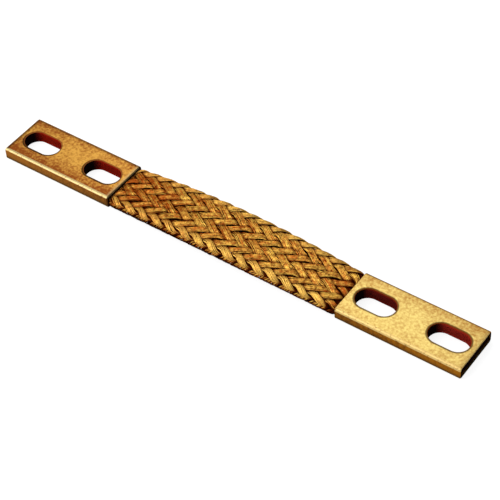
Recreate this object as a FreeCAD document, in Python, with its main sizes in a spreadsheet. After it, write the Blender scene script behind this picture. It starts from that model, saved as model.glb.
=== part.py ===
"""Braided jumper strap: a flat tubular copper braid with a tube ferrule pressed over each end.

Frame: X along the strap, Y across it, Z up. The origin is on the resting surface under the middle
of the strap. Both ferrules lie flat, and the braid springs up a little between them.
"""

import FreeCAD
import Part
import Sketcher

import math
import os

from FreeCAD import Vector

# Driving sizes in millimetres; ribs_per_face is a count.
SIZES = {
    "overall_length": 304.8,
    "ferrule_length": 76.2,
    "ferrule_width": 31.75,
    "ferrule_thickness": 7.9375,
    "tube_wall": 1.5,
    "bore_corner_radius": 0.3,
    "ferrule_end_break": 0.4,
    "slot_length": 23.8125,
    "slot_width": 14.0,
    "slot_end_margin": 3.96875,
    "slot_rim_break": 0.4,
    "end_recess": 0.8,
    "mouth_recess": 0.8,
    "mouth_clearance": 0.1,
    "weave_seat": 1.0,
    "braid_width": 36.4,
    "braid_thickness": 8.2,
    "braid_arch": 3.1,
    "ribs_per_face": 6,
    "float_pitch": 9.9,
    "float_crown": 1.0,
    "mouth_crown": 0.5,
}
# Sizes that follow from the driving ones: the slots keep their margin from both ends of a ferrule.
FOLLOWING_SIZES = {
    "slot_spacing": "=ferrule_length - slot_length - 2 * slot_end_margin",
}

# Powers of the two curves whose mean gives how full the braid is from its middle to a mouth:
# a slow swell over the whole length, and a quick shoulder just outside the ferrule.
SWELL_POWER = 2
SHOULDER_POWER = 40
# Section of a float: places across its back, and their lift as a share of the crown.
BACK_PLACES = (0.2, 0.5, 0.8)
BACK_LIFTS = (0.72, 1.0, 0.72)
# Where the nose of a float ends, as a share of the way to its middle, and its lift there.
NOSE_PLACE = 0.35
NOSE_LIFT = 0.85
ON_PLANE = 1e-4


def make_sheet(doc):
    """The spreadsheet that holds every size under its own alias."""
    sheet = doc.addObject("Spreadsheet::Sheet", "sizes")
    for row, (name, value) in enumerate({**SIZES, **FOLLOWING_SIZES}.items(), start=1):
        sheet.set(f"A{row}", name)
        sheet.set(f"B{row}", str(value))
        sheet.setAlias(f"B{row}", name)
    doc.recompute()
    return sheet


def origin_feature(body, role):
    """The body's own origin plane or axis with this role."""
    return next(feature for feature in body.Origin.OriginFeatures if feature.Role == role)


def new_sketch(body, name, role):
    """An empty sketch of the body on one of its origin planes."""
    sketch = body.newObject("Sketcher::SketchObject", name)
    sketch.AttachmentSupport = (origin_feature(body, role), [""])
    sketch.MapMode = "FlatFace"
    return sketch


def constrain(sketch, name, expression, kind, *arguments):
    """Add a dimension to the sketch and bind it to the sheet."""
    index = sketch.addConstraint(Sketcher.Constraint(kind, *arguments))
    sketch.renameConstraint(index, name)
    sketch.setExpression(f"Constraints.{name}", expression)


def rounded_rectangle(sketch, prefix, width, height, radius, expressions):
    """Draw a rounded rectangle centred on the sketch's origin and bind its width, height and radius."""
    across = width / 2 - radius
    up = height / 2 - radius
    corners = [Vector(across, up), Vector(-across, up), Vector(-across, -up), Vector(across, -up)]
    arcs = []
    for turn, centre in enumerate(corners):
        circle = Part.Circle(centre, Vector(0, 0, 1), radius)
        quarter = Part.ArcOfCircle(circle, turn * math.pi / 2, (turn + 1) * math.pi / 2)
        arcs.append(sketch.addGeometry(quarter))
    sides = []
    for turn, centre in enumerate(corners):
        outward = Vector(-math.sin(turn * math.pi / 2), math.cos(turn * math.pi / 2)) * radius
        following = corners[(turn + 1) % 4]
        sides.append(sketch.addGeometry(Part.LineSegment(centre + outward, following + outward)))
    for turn in range(4):
        sketch.addConstraint(Sketcher.Constraint("Tangent", arcs[turn], 2, sides[turn], 1))
        sketch.addConstraint(Sketcher.Constraint("Tangent", sides[turn], 2, arcs[(turn + 1) % 4], 1))
    for turn in range(1, 4):
        sketch.addConstraint(Sketcher.Constraint("Equal", arcs[0], arcs[turn]))
    sketch.addConstraint(Sketcher.Constraint("Horizontal", sides[0]))
    sketch.addConstraint(Sketcher.Constraint("Vertical", sides[1]))
    sketch.addConstraint(Sketcher.Constraint("Symmetric", arcs[0], 3, arcs[2], 3, -1, 1))
    constrain(sketch, f"{prefix}_width", expressions[0], "DistanceX", sides[1], 1, sides[3], 1, width)
    constrain(sketch, f"{prefix}_height", expressions[1], "DistanceY", sides[2], 1, sides[0], 1, height)
    constrain(sketch, f"{prefix}_radius", expressions[2], "Radius", arcs[0], radius)


def punch_slots(body, sizes, offset_expression):
    """Cut the two bolt slots through a body, the first drawn in a sketch and the second patterned."""
    radius = sizes["slot_width"] / 2
    reach = (sizes["slot_length"] - sizes["slot_width"]) / 2
    middle = -sizes["slot_spacing"] / 2
    sketch = new_sketch(body, f"{body.Name}_slot", "XY_Plane")
    ends = []
    for side in (1, -1):
        circle = Part.Circle(Vector(middle + side * reach, 0), Vector(0, 0, 1), radius)
        start = -side * math.pi / 2
        ends.append(sketch.addGeometry(Part.ArcOfCircle(circle, start, start + math.pi)))
    edges = []
    for side in (1, -1):
        near = Vector(middle + side * reach, side * radius)
        far = Vector(middle - side * reach, side * radius)
        edges.append(sketch.addGeometry(Part.LineSegment(near, far)))
    for this, other in ((0, 1), (1, 0)):
        sketch.addConstraint(Sketcher.Constraint("Tangent", ends[this], 2, edges[this], 1))
        sketch.addConstraint(Sketcher.Constraint("Tangent", edges[this], 2, ends[other], 1))
        sketch.addConstraint(Sketcher.Constraint("PointOnObject", ends[this], 3, -1))
    sketch.addConstraint(Sketcher.Constraint("Equal", ends[0], ends[1]))
    constrain(sketch, "slot_radius", "sizes.slot_width / 2", "Radius", ends[0], radius)
    constrain(
        sketch, "slot_reach", "sizes.slot_length - sizes.slot_width",
        "DistanceX", ends[1], 3, ends[0], 3, 2 * reach,
    )
    constrain(
        sketch, "slot_place",
        f"sizes.slot_spacing / 2 - (sizes.slot_length - sizes.slot_width) / 2 {offset_expression}",
        "DistanceX", ends[0], 3, -1, 1, -middle - reach,
    )
    pocket = body.newObject("PartDesign::Pocket", f"{body.Name}_punch")
    pocket.Profile = sketch
    pocket.Type = "ThroughAll"
    pocket.SideType = "Symmetric"
    pattern = body.newObject("PartDesign::LinearPattern", f"{body.Name}_slots")
    pattern.Originals = [pocket]
    pattern.Direction = (origin_feature(body, "X_Axis"), [""])
    pattern.setExpression("Length", "sizes.slot_spacing")
    pattern.Occurrences = 2
    body.Tip = pattern
    return pattern


def edge_names(shape, chosen):
    """Names of the shape's edges for which the test is true."""
    return [f"Edge{index}" for index, edge in enumerate(shape.Edges, start=1) if chosen(edge)]


def break_edges(body, name, base, names, expression):
    """Break some edges of the body's last feature with a chamfer whose size is from the sheet."""
    chamfer = body.newObject("PartDesign::Chamfer", name)
    chamfer.Base = (base, names)
    chamfer.setExpression("Size", expression)
    body.Tip = chamfer
    return chamfer


def make_ferrule(doc, sizes, name, side):
    """A round copper tube pressed flat: a rounded tube section, two bolt slots and softened edges."""
    width = sizes["ferrule_width"]
    height = sizes["ferrule_thickness"]
    wall = sizes["tube_wall"]
    bore_radius = sizes["bore_corner_radius"]
    body = doc.addObject("PartDesign::Body", name)
    body.Label = name
    section = new_sketch(body, f"{name}_section", "YZ_Plane")
    rounded_rectangle(
        section, "tube", width, height, bore_radius + wall,
        ("sizes.ferrule_width", "sizes.ferrule_thickness", "sizes.bore_corner_radius + sizes.tube_wall"),
    )
    rounded_rectangle(
        section, "bore", width - 2 * wall, height - 2 * wall, bore_radius,
        (
            "sizes.ferrule_width - 2 * sizes.tube_wall",
            "sizes.ferrule_thickness - 2 * sizes.tube_wall",
            "sizes.bore_corner_radius",
        ),
    )
    tube = body.newObject("PartDesign::Pad", f"{name}_tube")
    tube.Profile = section
    tube.SideType = "Symmetric"
    tube.setExpression("Length", "sizes.ferrule_length")
    slots = punch_slots(body, sizes, "")
    doc.recompute()

    def on_slot_rim(edge):
        box = edge.BoundBox
        level = max(abs(abs(box.ZMin) - height / 2), abs(abs(box.ZMax) - height / 2)) < ON_PLANE
        return level and max(-box.YMin, box.YMax) < sizes["slot_width"] / 2 + ON_PLANE

    rims = break_edges(
        body, f"{name}_rims", slots, edge_names(slots.Shape, on_slot_rim), "sizes.slot_rim_break"
    )
    doc.recompute()
    end_faces = [face for face in rims.Shape.Faces if face.BoundBox.XLength < ON_PLANE]
    outlines = [edge for face in end_faces for edge in face.OuterWire.Edges]

    def on_end_outline(edge):
        return any(edge.isSame(outline) for outline in outlines)

    break_edges(
        body, f"{name}_ends", rims, edge_names(rims.Shape, on_end_outline), "sizes.ferrule_end_break"
    )
    body.setExpression("Placement.Base.x", f"{side} * (sizes.overall_length - sizes.ferrule_length) / 2")
    body.setExpression("Placement.Base.z", "sizes.ferrule_thickness / 2")
    return body


def make_pressed_end(doc, sizes, name, side):
    """The end of the braid, pressed solid by the ferrule: it fills the bore and has the same slots."""
    bore_width = sizes["ferrule_width"] - 2 * sizes["tube_wall"]
    bore_height = sizes["ferrule_thickness"] - 2 * sizes["tube_wall"]
    body = doc.addObject("PartDesign::Body", name)
    section = new_sketch(body, f"{name}_section", "YZ_Plane")
    rounded_rectangle(
        section, "press", bore_width, bore_height, sizes["bore_corner_radius"],
        (
            "sizes.ferrule_width - 2 * sizes.tube_wall",
            "sizes.ferrule_thickness - 2 * sizes.tube_wall",
            "sizes.bore_corner_radius",
        ),
    )
    block = body.newObject("PartDesign::Pad", f"{name}_block")
    block.Profile = section
    block.SideType = "Symmetric"
    block.setExpression("Length", "sizes.ferrule_length - sizes.end_recess - sizes.mouth_recess")
    shift = f"{side} * (sizes.mouth_recess - sizes.end_recess) / 2"
    punch_slots(body, sizes, f"+ {shift}")
    body.setExpression(
        "Placement.Base.x",
        f"{side} * (sizes.overall_length - sizes.ferrule_length) / 2 + {shift}",
    )
    body.setExpression("Placement.Base.z", "sizes.ferrule_thickness / 2")
    return body


class Weave:
    """The free length of the braid: a flat oval tube of floats, each passing over two strands.

    The surface is divided into rhombic crossings. Steps along the strap are half a float pitch, and
    steps round the section are half a rib, so a crossing spans two steps each way. A float is two
    crossings of one strand. Neighbouring ribs slope opposite ways, which gives the herringbone.
    """

    def __init__(self, sizes):
        self.sizes = sizes
        self.half_free = sizes["overall_length"] / 2 - sizes["ferrule_length"]
        self.reach = self.half_free + sizes["mouth_recess"] + sizes["weave_seat"]
        self.steps_round = 4 * round(sizes["ribs_per_face"])
        self.last_step = max(2, round(2 * self.reach / sizes["float_pitch"]))
        self.step_length = self.reach / self.last_step
        clear = sizes["tube_wall"] + sizes["mouth_clearance"]
        self.mouth_width = sizes["ferrule_width"] - 2 * clear
        self.mouth_thickness = sizes["ferrule_thickness"] - 2 * clear

    def section(self, x):
        """Half width and half thickness at the bottom of the grooves, centre height and crown at x."""
        sizes = self.sizes
        share = min(abs(x) / self.half_free, 1.0)
        fullness = 1 - (share**SWELL_POWER + share**SHOULDER_POWER) / 2
        crown = sizes["mouth_crown"] + (sizes["float_crown"] - sizes["mouth_crown"]) * fullness
        width = self.mouth_width + (sizes["braid_width"] - self.mouth_width) * fullness
        thickness = self.mouth_thickness + (sizes["braid_thickness"] - self.mouth_thickness) * fullness
        centre = sizes["ferrule_thickness"] / 2 + sizes["braid_arch"] * (1 - share**2)
        return width / 2 - crown, thickness / 2 - crown, centre, crown

    def point(self, around, along, lift):
        """A point of the weave: steps round the section, steps along, and share of the crown."""
        x = along * self.step_length
        half_width, half_thickness, centre, crown = self.section(x)
        flat = 2 * (half_width - half_thickness)
        quarter = math.pi / 2 * half_thickness
        travel = ((around - 0.5) / self.steps_round) % 1.0 * 2 * (flat + 2 * quarter)
        if travel < quarter:
            angle, y = math.pi - travel / half_thickness, -flat / 2
        elif travel < quarter + flat:
            angle, y = math.pi / 2, travel - quarter - flat / 2
        elif travel < 3 * quarter + flat:
            angle, y = math.pi / 2 - (travel - quarter - flat) / half_thickness, flat / 2
        elif travel < 3 * quarter + 2 * flat:
            angle, y = -math.pi / 2, flat / 2 - (travel - 3 * quarter - flat)
        else:
            angle, y = -math.pi / 2 - (travel - 3 * quarter - 2 * flat) / half_thickness, -flat / 2
        radius = half_thickness + crown * lift
        return Vector(x, y + radius * math.cos(angle), centre + radius * math.sin(angle))

    def strand_corners(self, around, along):
        """Corners of a crossing, from the free end of its float to the middle of that float."""
        left = (around, along - 1)
        top = (around + 1, along)
        right = (around, along + 1)
        bottom = (around - 1, along)
        rising = (around - 1) // 2 % 2 == 1
        first = (around - 1) % 2 == 0
        if rising:
            return (left, bottom, right, top) if first else (right, top, left, bottom)
        return (bottom, right, top, left) if first else (top, left, bottom, right)

    def groove(self, start, end):
        """The point halfway along a groove; it lies on the chord where the weave closes."""
        if max(abs(start[1]), abs(end[1])) == self.last_step:
            return (self.point(*start, 0.0) + self.point(*end, 0.0)) * 0.5
        return self.point((start[0] + end[0]) / 2, (start[1] + end[1]) / 2, 0.0)

    def crest(self, corners, forward, height):
        """Three points across the back of a float, at a share of the way to its middle."""
        near_end, far_end, far_middle, near_middle = corners
        points = []
        for across, lift in zip(BACK_PLACES, BACK_LIFTS):
            near = blend(near_end, near_middle, forward)
            far = blend(far_end, far_middle, forward)
            points.append(self.point(*blend(near, far, across), lift * height))
        return points

    def crossing(self, around, along):
        """Flat facets of one crossing: the nose of its float, the back and the two flanks."""
        corners = self.strand_corners(around, along)
        start, stop, far, near = (self.point(*corner, 0.0) for corner in corners)
        nose_foot = self.groove(corners[0], corners[1])
        near_foot = self.groove(corners[0], corners[3])
        far_foot = self.groove(corners[1], corners[2])
        nose = self.crest(corners, NOSE_PLACE, NOSE_LIFT)
        facets = [
            (start, nose_foot, nose[0]),
            (nose_foot, nose[1], nose[0]),
            (nose_foot, nose[2], nose[1]),
            (nose_foot, stop, nose[2]),
            (start, nose[0], near_foot),
            (stop, far_foot, nose[2]),
        ]
        if max(abs(corner[1]) for corner in corners[2:]) == self.last_step:
            tail = self.groove(corners[2], corners[3])
            facets += [(nose[0], nose[1], tail), (nose[1], nose[2], tail)]
            facets += [(nose[0], tail, near), (nose[2], far, tail)]
            facets += [(nose[0], near, near_foot), (nose[2], far_foot, far)]
        else:
            back = self.crest(corners, 1.0, 1.0)
            facets += [(nose[0], nose[1], back[1]), (nose[0], back[1], back[0])]
            facets += [(nose[1], nose[2], back[2]), (nose[1], back[2], back[1])]
            facets += [(nose[0], back[0], near_foot), (near_foot, back[0], near)]
            facets += [(nose[2], far_foot, back[2]), (far_foot, far, back[2])]
        return [flat_face(*facet) for facet in facets]

    def end_faces(self, end):
        """Flat faces that close the weave inside a ferrule: a ring of triangles and a cap."""
        side = 1 if end > 0 else -1
        inner = end - side
        rim = [node for node in range(self.steps_round) if (node + end) % 2 == 0]
        faces = [flat_face(*(self.point(node, end, 0.0) for node in rim))]
        for node in rim:
            tip = (node + 1, inner)
            start = (node, end)
            stop = (node + 2, end)
            tip_point, start_point, stop_point = (self.point(*place, 0.0) for place in (tip, start, stop))
            faces.append(flat_face(
                tip_point, self.groove(tip, start), start_point, stop_point, self.groove(tip, stop)
            ))
        return faces

    def solid(self):
        """The closed solid of the whole weave."""
        faces = []
        for along in range(1 - self.last_step, self.last_step):
            for around in range(self.steps_round):
                if (around + along) % 2 == 1:
                    faces.extend(self.crossing(around, along))
        for end in (-self.last_step, self.last_step):
            faces.extend(self.end_faces(end))
        shell = Part.Shell(faces)
        shell.sewShape()
        solid = Part.Solid(shell)
        if solid.Volume < 0:
            solid.reverse()
        return solid


def blend(first, second, share):
    """A place between two places of the weave."""
    return tuple(a + (b - a) * share for a, b in zip(first, second))


def flat_face(*points):
    """A flat face with these corners."""
    return Part.Face(Part.makePolygon([*points, points[0]]))


def make_braid(doc, sizes):
    """The braid as one piece: the woven free length joined to its two pressed ends."""
    weave = doc.addObject("Part::Feature", "weave")
    weave.Shape = Weave(sizes).solid()
    ends = [
        make_pressed_end(doc, sizes, "left_pressed_end", -1),
        make_pressed_end(doc, sizes, "right_pressed_end", 1),
    ]
    braid = doc.addObject("Part::MultiFuse", "braid")
    braid.Label = "braid"
    braid.Shapes = [weave, *ends]
    return braid


def check(doc, parts):
    """Stop with a plain message if any object failed or any sub-part's shape is unsound."""
    for thing in doc.Objects:
        if "Invalid" in thing.State or "Error" in thing.State:
            raise RuntimeError(f"{thing.Name} failed: {thing.State}")
    for part in parts:
        if part.Shape.isNull() or not part.Shape.isValid():
            raise RuntimeError(f"{part.Label} has no sound shape")


def main():
    doc = FreeCAD.newDocument("braided_jumper_strap")
    sheet = make_sheet(doc)
    sizes = {name: float(sheet.get(name)) for name in (*SIZES, *FOLLOWING_SIZES)}
    parts = [
        make_ferrule(doc, sizes, "left_ferrule", -1),
        make_ferrule(doc, sizes, "right_ferrule", 1),
        make_braid(doc, sizes),
    ]
    doc.recompute()
    check(doc, parts)
    os.makedirs("parts", exist_ok=True)
    for part in parts:
        print(part.Label, len(part.Shape.Solids), "solid,", round(part.Shape.Volume), "mm3")
        part.Shape.exportStep(f"parts/{part.Label}.step")


main()
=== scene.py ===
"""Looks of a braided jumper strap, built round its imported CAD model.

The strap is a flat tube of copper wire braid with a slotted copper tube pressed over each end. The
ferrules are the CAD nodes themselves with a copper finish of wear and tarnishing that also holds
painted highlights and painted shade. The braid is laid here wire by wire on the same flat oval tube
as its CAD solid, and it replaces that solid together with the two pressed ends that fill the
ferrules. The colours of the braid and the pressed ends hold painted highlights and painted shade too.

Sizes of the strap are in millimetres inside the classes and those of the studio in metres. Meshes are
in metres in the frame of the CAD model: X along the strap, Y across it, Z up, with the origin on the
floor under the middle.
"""

import logging
import math
from dataclasses import dataclass, field
from enum import Enum
from typing import Any

import bpy
import numpy as np
from mathutils import Matrix, Vector

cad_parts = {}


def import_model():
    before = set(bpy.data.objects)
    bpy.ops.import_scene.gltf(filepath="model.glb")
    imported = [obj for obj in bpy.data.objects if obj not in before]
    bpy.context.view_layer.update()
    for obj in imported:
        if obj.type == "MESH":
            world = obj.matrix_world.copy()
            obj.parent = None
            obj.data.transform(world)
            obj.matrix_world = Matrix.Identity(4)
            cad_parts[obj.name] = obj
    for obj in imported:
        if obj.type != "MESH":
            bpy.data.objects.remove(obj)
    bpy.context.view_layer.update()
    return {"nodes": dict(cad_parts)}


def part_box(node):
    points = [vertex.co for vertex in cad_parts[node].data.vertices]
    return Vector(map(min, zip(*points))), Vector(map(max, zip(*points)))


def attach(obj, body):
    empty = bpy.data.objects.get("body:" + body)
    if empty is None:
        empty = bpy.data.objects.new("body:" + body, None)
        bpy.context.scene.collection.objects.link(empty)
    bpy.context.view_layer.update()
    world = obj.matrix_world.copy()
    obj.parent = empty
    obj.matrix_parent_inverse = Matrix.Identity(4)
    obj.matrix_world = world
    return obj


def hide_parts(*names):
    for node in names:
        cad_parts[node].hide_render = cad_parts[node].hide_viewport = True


MM = 0.001
BODY = "root"
SEED = 24

# Sizes of the CAD model in millimetres.
FREE_LENGTH = 152.4
FERRULE_LENGTH = 76.2
FERRULE_WIDTH = 31.75
FERRULE_THICKNESS = 7.9375
TUBE_WALL = 1.5
SLOT_LENGTH = 23.8125
SLOT_WIDTH = 14.0
SLOT_SPACING = 44.45

# Distances from the middle of the strap in millimetres.
MOUTH = FREE_LENGTH / 2
OUTER_END = MOUTH + FERRULE_LENGTH

# Half the straight part of a slot.
SLOT_REACH = (SLOT_LENGTH - SLOT_WIDTH) / 2

# Sockets of the Mix node where it mixes colours, and where it mixes numbers.
MIX_FIRST = 6
MIX_SECOND = 7
MIX_RESULT = 2
NUMBER_FIRST = 2
NUMBER_SECOND = 3

# The value round which a noise texture swings.
NOISE_MIDDLE = 0.5

log = logging.getLogger("braided_jumper_strap")


class Lay(Enum):
    """Which way a carrier of the braid crosses the upper face as it goes along the strap."""

    RISING = 1
    FALLING = -1


class End(Enum):
    """The two ends of the strap, by the sign of X."""

    LEFT = -1
    RIGHT = 1

    @property
    def word(self) -> str:
        """The end's name as it stands in the names of its pieces."""
        return self.name.lower()

    @property
    def middle_mm(self) -> float:
        """Where the middle of the end's ferrule is along X."""
        return self.value * (MOUTH + OUTER_END) / 2


def linear(code: str) -> tuple[float, float, float, float]:
    """Turn an sRGB hex colour into the linear colour that shaders take.

    Args:
        code: Six hex digits after a hash sign.

    Returns:
        Linear red, green and blue, and an alpha of one.
    """
    shares = [int(code[place:place + 2], 16) / 255 for place in (1, 3, 5)]
    red, green, blue = (
        share / 12.92 if share <= 0.04045 else ((share + 0.055) / 1.055) ** 2.4 for share in shares
    )
    return red, green, blue, 1.0


def add_node(
    tree: bpy.types.NodeTree,
    kind: str,
    settings: dict[str, Any] | None = None,
    inputs: dict[int | str, Any] | None = None,
    links: dict[int | str, bpy.types.NodeSocket] | None = None,
) -> bpy.types.Node:
    """Add one node to a tree with its settings, socket values and links.

    Args:
        tree: Node tree that takes the node.
        kind: Blender's name for the kind of node.
        settings: Properties of the node.
        inputs: Values of its input sockets, by name or place.
        links: Output sockets of other nodes, by the input socket that each goes into.

    Returns:
        The new node.
    """
    node = tree.nodes.new(kind)
    for name, value in (settings or {}).items():
        setattr(node, name, value)
    for name, value in (inputs or {}).items():
        node.inputs[name].default_value = value
    for name, socket in (links or {}).items():
        tree.links.new(socket, node.inputs[name])
    return node


def smooth(share: np.ndarray) -> np.ndarray:
    """Ease a rise from zero to one in and out.

    Args:
        share: How far along the rise, from zero to one.

    Returns:
        The eased values.
    """
    return share * share * (3 - 2 * share)


def new_material(name: str) -> bpy.types.Material:
    """Add an empty node material.

    Args:
        name: Name of the material.

    Returns:
        The material, with no nodes in it.
    """
    material = bpy.data.materials.new(name)
    material.use_nodes = True
    material.node_tree.nodes.clear()
    return material


def add_piece(name: str, mesh: bpy.types.Mesh, slot: str, *replaced: str) -> bpy.types.Object:
    """Put a mesh into the scene as a piece of the strap.

    Args:
        name: Name of the piece.
        mesh: Its mesh, in the frame of the CAD model.
        slot: The record's material slot; not used.
        replaced: CAD nodes that the piece stands for.

    Returns:
        The new object, riding on the strap's body.
    """
    piece = bpy.data.objects.new(name, mesh)
    bpy.context.scene.collection.objects.link(piece)
    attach(piece, BODY)
    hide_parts(*replaced)
    return piece


@dataclass(frozen=True)
class PressedCopperTube:
    """Copper tube pressed flat in a die and a little tarnished.

    The flats are burnished by the die and show a satin gold with cloudy tarnishing. Their near long
    edge, the lip at the mouth and the rounded top corners, save along the far long edge, are painted
    pale: wear together with a painted highlight. Dark rims round the slots, along the far long edge, at
    the outer end and at the mouth are painted shade, round the slots with some burrs. The brown of the
    sides, mottled and darker towards the floor, is painted shade. The punched walls of the slots are
    dark red, painted darker as shade where they face +X and nearer the middle of the strap, and faces
    that look along the strap are painted almost black as shade.

    The flats darken from start by across, along, edges and ends towards those places: cloudy
    tarnishing together with a painted shade where the lamps' reflection falls off. The rims, the lip and
    the shades are amounts from zero to one. A pair of numbers is where a mark begins and where it is
    full: a slope is a part of the surface's direction, a share is a part of the ferrule's half width or
    half length, a grain is a value of the fine noise, and the rest are millimetres.
    """

    name: str
    bright: str
    tarnish: str
    start: float
    across: float
    along: float
    edges: float
    ends: float
    speckle: float
    lip: float
    inner_shade: float
    near_rim: float
    far_rim: float
    end_rim: float
    mouth_rim: float
    middle_mm: float
    # The rings round the slots sit this far towards the near side, so that the dark ring of painted shade
    # shows on the near rim only.
    punch_shift_mm: float = 0.2
    flat_slope: tuple[float, float] = (0.93, 0.995)
    sawn_slope: tuple[float, float] = (0.75, 0.97)
    rub_slope: tuple[float, float] = (0.0, 0.15)
    rub_share: tuple[float, float] = (0.92, 0.82)
    rub_grain: tuple[float, float] = (0.2, 0.5)
    arc_slope: tuple[float, float] = (0.25, 0.8)
    arc_shade: float = 0.97
    foot_mm: tuple[float, float] = (4.4, 1.0)
    # A dark ring round each slot: painted shade with some burrs.
    burr_mm: tuple[float, float] = (8.4, 7.8)
    burr_most: float = 0.8
    wall_mm: tuple[float, float] = (8.4, 9.0)
    lip_share: tuple[float, float] = (0.93, 0.97)
    bared_mm: tuple[float, float] = (145.0, 280.0)
    mottle_mm: float = 240.0
    inner_mm: tuple[float, float] = (125.0, 100.0)
    # A pale painted highlight with some wear on the near long edge of the flats, and painted shade on the
    # far one.
    near_rim_share: tuple[float, float] = (-0.86, -0.9)
    far_rim_share: tuple[float, float] = (0.8, 0.9)
    # Painted shade along the outer end and at the mouth of the flats.
    end_rim_mm: tuple[float, float] = (OUTER_END - 2.8, OUTER_END - 1.0)
    mouth_rim_mm: tuple[float, float] = (MOUTH + 1.0, MOUTH + 0.5)
    # Pale colour of the rims and rounded corners: wear with a painted highlight.
    worn: str = "#D0B270"
    # The brown of the sides, mottled and darker towards the floor, is painted shade.
    side: str = "#93590F"
    side_dull: str = "#582A08"
    side_foot: str = "#3E1E0C"
    slot_wall: str = "#9A1D0D"
    # Near black painted shade on faces that look along the strap and on the shaded slot walls.
    cut: str = "#060405"
    # Dark colour of the rims: painted shade, with some burrs round the slots.
    burr: str = "#2A1408"
    slot_rim: str = "#7A3C14"
    edge_tint: str = "#F4EECA"
    cloud_mm: float = 9.0
    cloudiness: float = 0.8
    grain_mm: float = 1.5
    grain_height_mm: float = 0.02
    grain_strength: float = 0.4
    edge_power: float = 2.0
    end_power: float = 4.0
    flat_roughness: float = 0.3
    stained_roughness: float = 0.45
    wall_roughness: float = 0.42

    def material(self) -> bpy.types.Material:
        """Build the finish.

        Returns:
            The material for a ferrule.
        """
        material = new_material(self.name)
        tree = material.node_tree
        place = add_node(tree, "ShaderNodeTexCoord")
        facing = add_node(tree, "ShaderNodeSeparateXYZ", links={0: place.outputs["Normal"]})
        spot = add_node(tree, "ShaderNodeSeparateXYZ", links={0: place.outputs["Object"]})
        upward, endward, outward = (
            add_node(tree, "ShaderNodeMath", {"operation": "ABSOLUTE"}, links={0: socket})
            for socket in (facing.outputs["Z"], facing.outputs["X"], spot.outputs["X"])
        )
        share_across, share_along = (
            add_node(
                tree, "ShaderNodeMapRange", {"clamp": False},
                {
                    "From Min": (middle - half) * MM, "From Max": (middle + half) * MM,
                    "To Min": -1.0, "To Max": 1.0,
                },
                {"Value": socket},
            ).outputs[0]
            for middle, half, socket in (
                (0.0, FERRULE_WIDTH / 2, spot.outputs["Y"]),
                (self.middle_mm, FERRULE_LENGTH / 2, spot.outputs["X"]),
            )
        )
        clouds, grain = (
            add_node(
                tree, "ShaderNodeTexNoise", None,
                {"Scale": 1 / (size * MM), "Detail": detail, "Roughness": 0.6},
                {"Vector": place.outputs["Object"]},
            ).outputs["Fac"]
            for size, detail in ((self.cloud_mm, 3.0), (self.grain_mm, 2.0))
        )
        slot_place = share_along
        for operation, value in (
            ("MULTIPLY", FERRULE_LENGTH / 2),
            ("ABSOLUTE", 0.0),
            ("SUBTRACT", SLOT_SPACING / 2),
            ("ABSOLUTE", 0.0),
            ("SUBTRACT", SLOT_REACH),
            ("MAXIMUM", 0.0),
        ):
            slot_place = add_node(
                tree, "ShaderNodeMath", {"operation": operation}, {1: value}, {0: slot_place}
            ).outputs[0]
        level = add_node(
            tree, "ShaderNodeMath", {"operation": "MULTIPLY_ADD"},
            {1: FERRULE_WIDTH / 2, 2: self.punch_shift_mm}, {0: share_across},
        )
        from_slot = add_node(
            tree, "ShaderNodeCombineXYZ", None, None, {0: slot_place, 1: level.outputs[0]}
        )
        slot_distance = add_node(
            tree, "ShaderNodeVectorMath", {"operation": "LENGTH"}, None, {0: from_slot.outputs[0]}
        )
        side_wear = add_node(
            tree, "ShaderNodeMath", {"operation": "MULTIPLY_ADD"}, {1: self.mottle_mm * MM},
            {0: grain, 2: outward.outputs[0]},
        ).outputs[0]
        masks = {
            name: add_node(
                tree, "ShaderNodeMapRange", {"interpolation_type": "SMOOTHSTEP"},
                {"From Min": begins * unit, "From Max": full * unit, "To Max": most}, {"Value": socket},
            ).outputs[0]
            for name, (begins, full), unit, most, socket in (
                ("burnish", self.flat_slope, 1.0, 1.0, upward.outputs[0]),
                ("broken", self.rub_slope, 1.0, 1.0, facing.outputs["Z"]),
                ("sawn", self.sawn_slope, 1.0, 1.0, endward.outputs[0]),
                ("arcs", self.arc_slope, 1.0, self.arc_shade, facing.outputs["X"]),
                ("foot", self.foot_mm, MM, 1.0, spot.outputs["Z"]),
                ("burr", self.burr_mm, 1.0, self.burr_most, slot_distance.outputs["Value"]),
                ("outside", self.wall_mm, 1.0, 1.0, slot_distance.outputs["Value"]),
                ("hither", self.rub_share, 1.0, 1.0, share_across),
                ("patches", self.rub_grain, 1.0, 1.0, grain),
                ("lip", self.lip_share, 1.0, self.lip, share_along),
                ("bared", self.bared_mm, MM, 1.0, side_wear),
                ("inner", self.inner_mm, MM, self.inner_shade, outward.outputs[0]),
                ("near_rim", self.near_rim_share, 1.0, self.near_rim, share_across),
                ("far_rim", self.far_rim_share, 1.0, self.far_rim, share_across),
                ("end_rim", self.end_rim_mm, MM, self.end_rim, outward.outputs[0]),
                ("mouth_rim", self.mouth_rim_mm, MM, self.mouth_rim, outward.outputs[0]),
            )
        }
        # Pale rims and rounded corners are wear with a painted highlight, dark rims are painted shade with
        # some burrs, and the shaded slot walls are painted shade.
        for name, operation, parts in (
            ("pale_rim", "MAXIMUM", ("lip", "near_rim")),
            ("dark_rim", "MAXIMUM", ("burr", "far_rim", "end_rim")),
            ("rubbed", "MULTIPLY", ("broken", "hither", "patches")),
            ("shaded", "MAXIMUM", ("arcs", "inner")),
        ):
            joined = masks[parts[0]]
            for part in parts[1:]:
                joined = add_node(
                    tree, "ShaderNodeMath", {"operation": operation}, None, {0: joined, 1: masks[part]}
                ).outputs[0]
            masks[name] = joined
        edge_share, end_share = (
            add_node(tree, "ShaderNodeMath", {"operation": "POWER"}, {1: power}, {0: socket}).outputs[0]
            for power, socket in ((self.edge_power, share_across), (self.end_power, share_along))
        )
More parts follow.
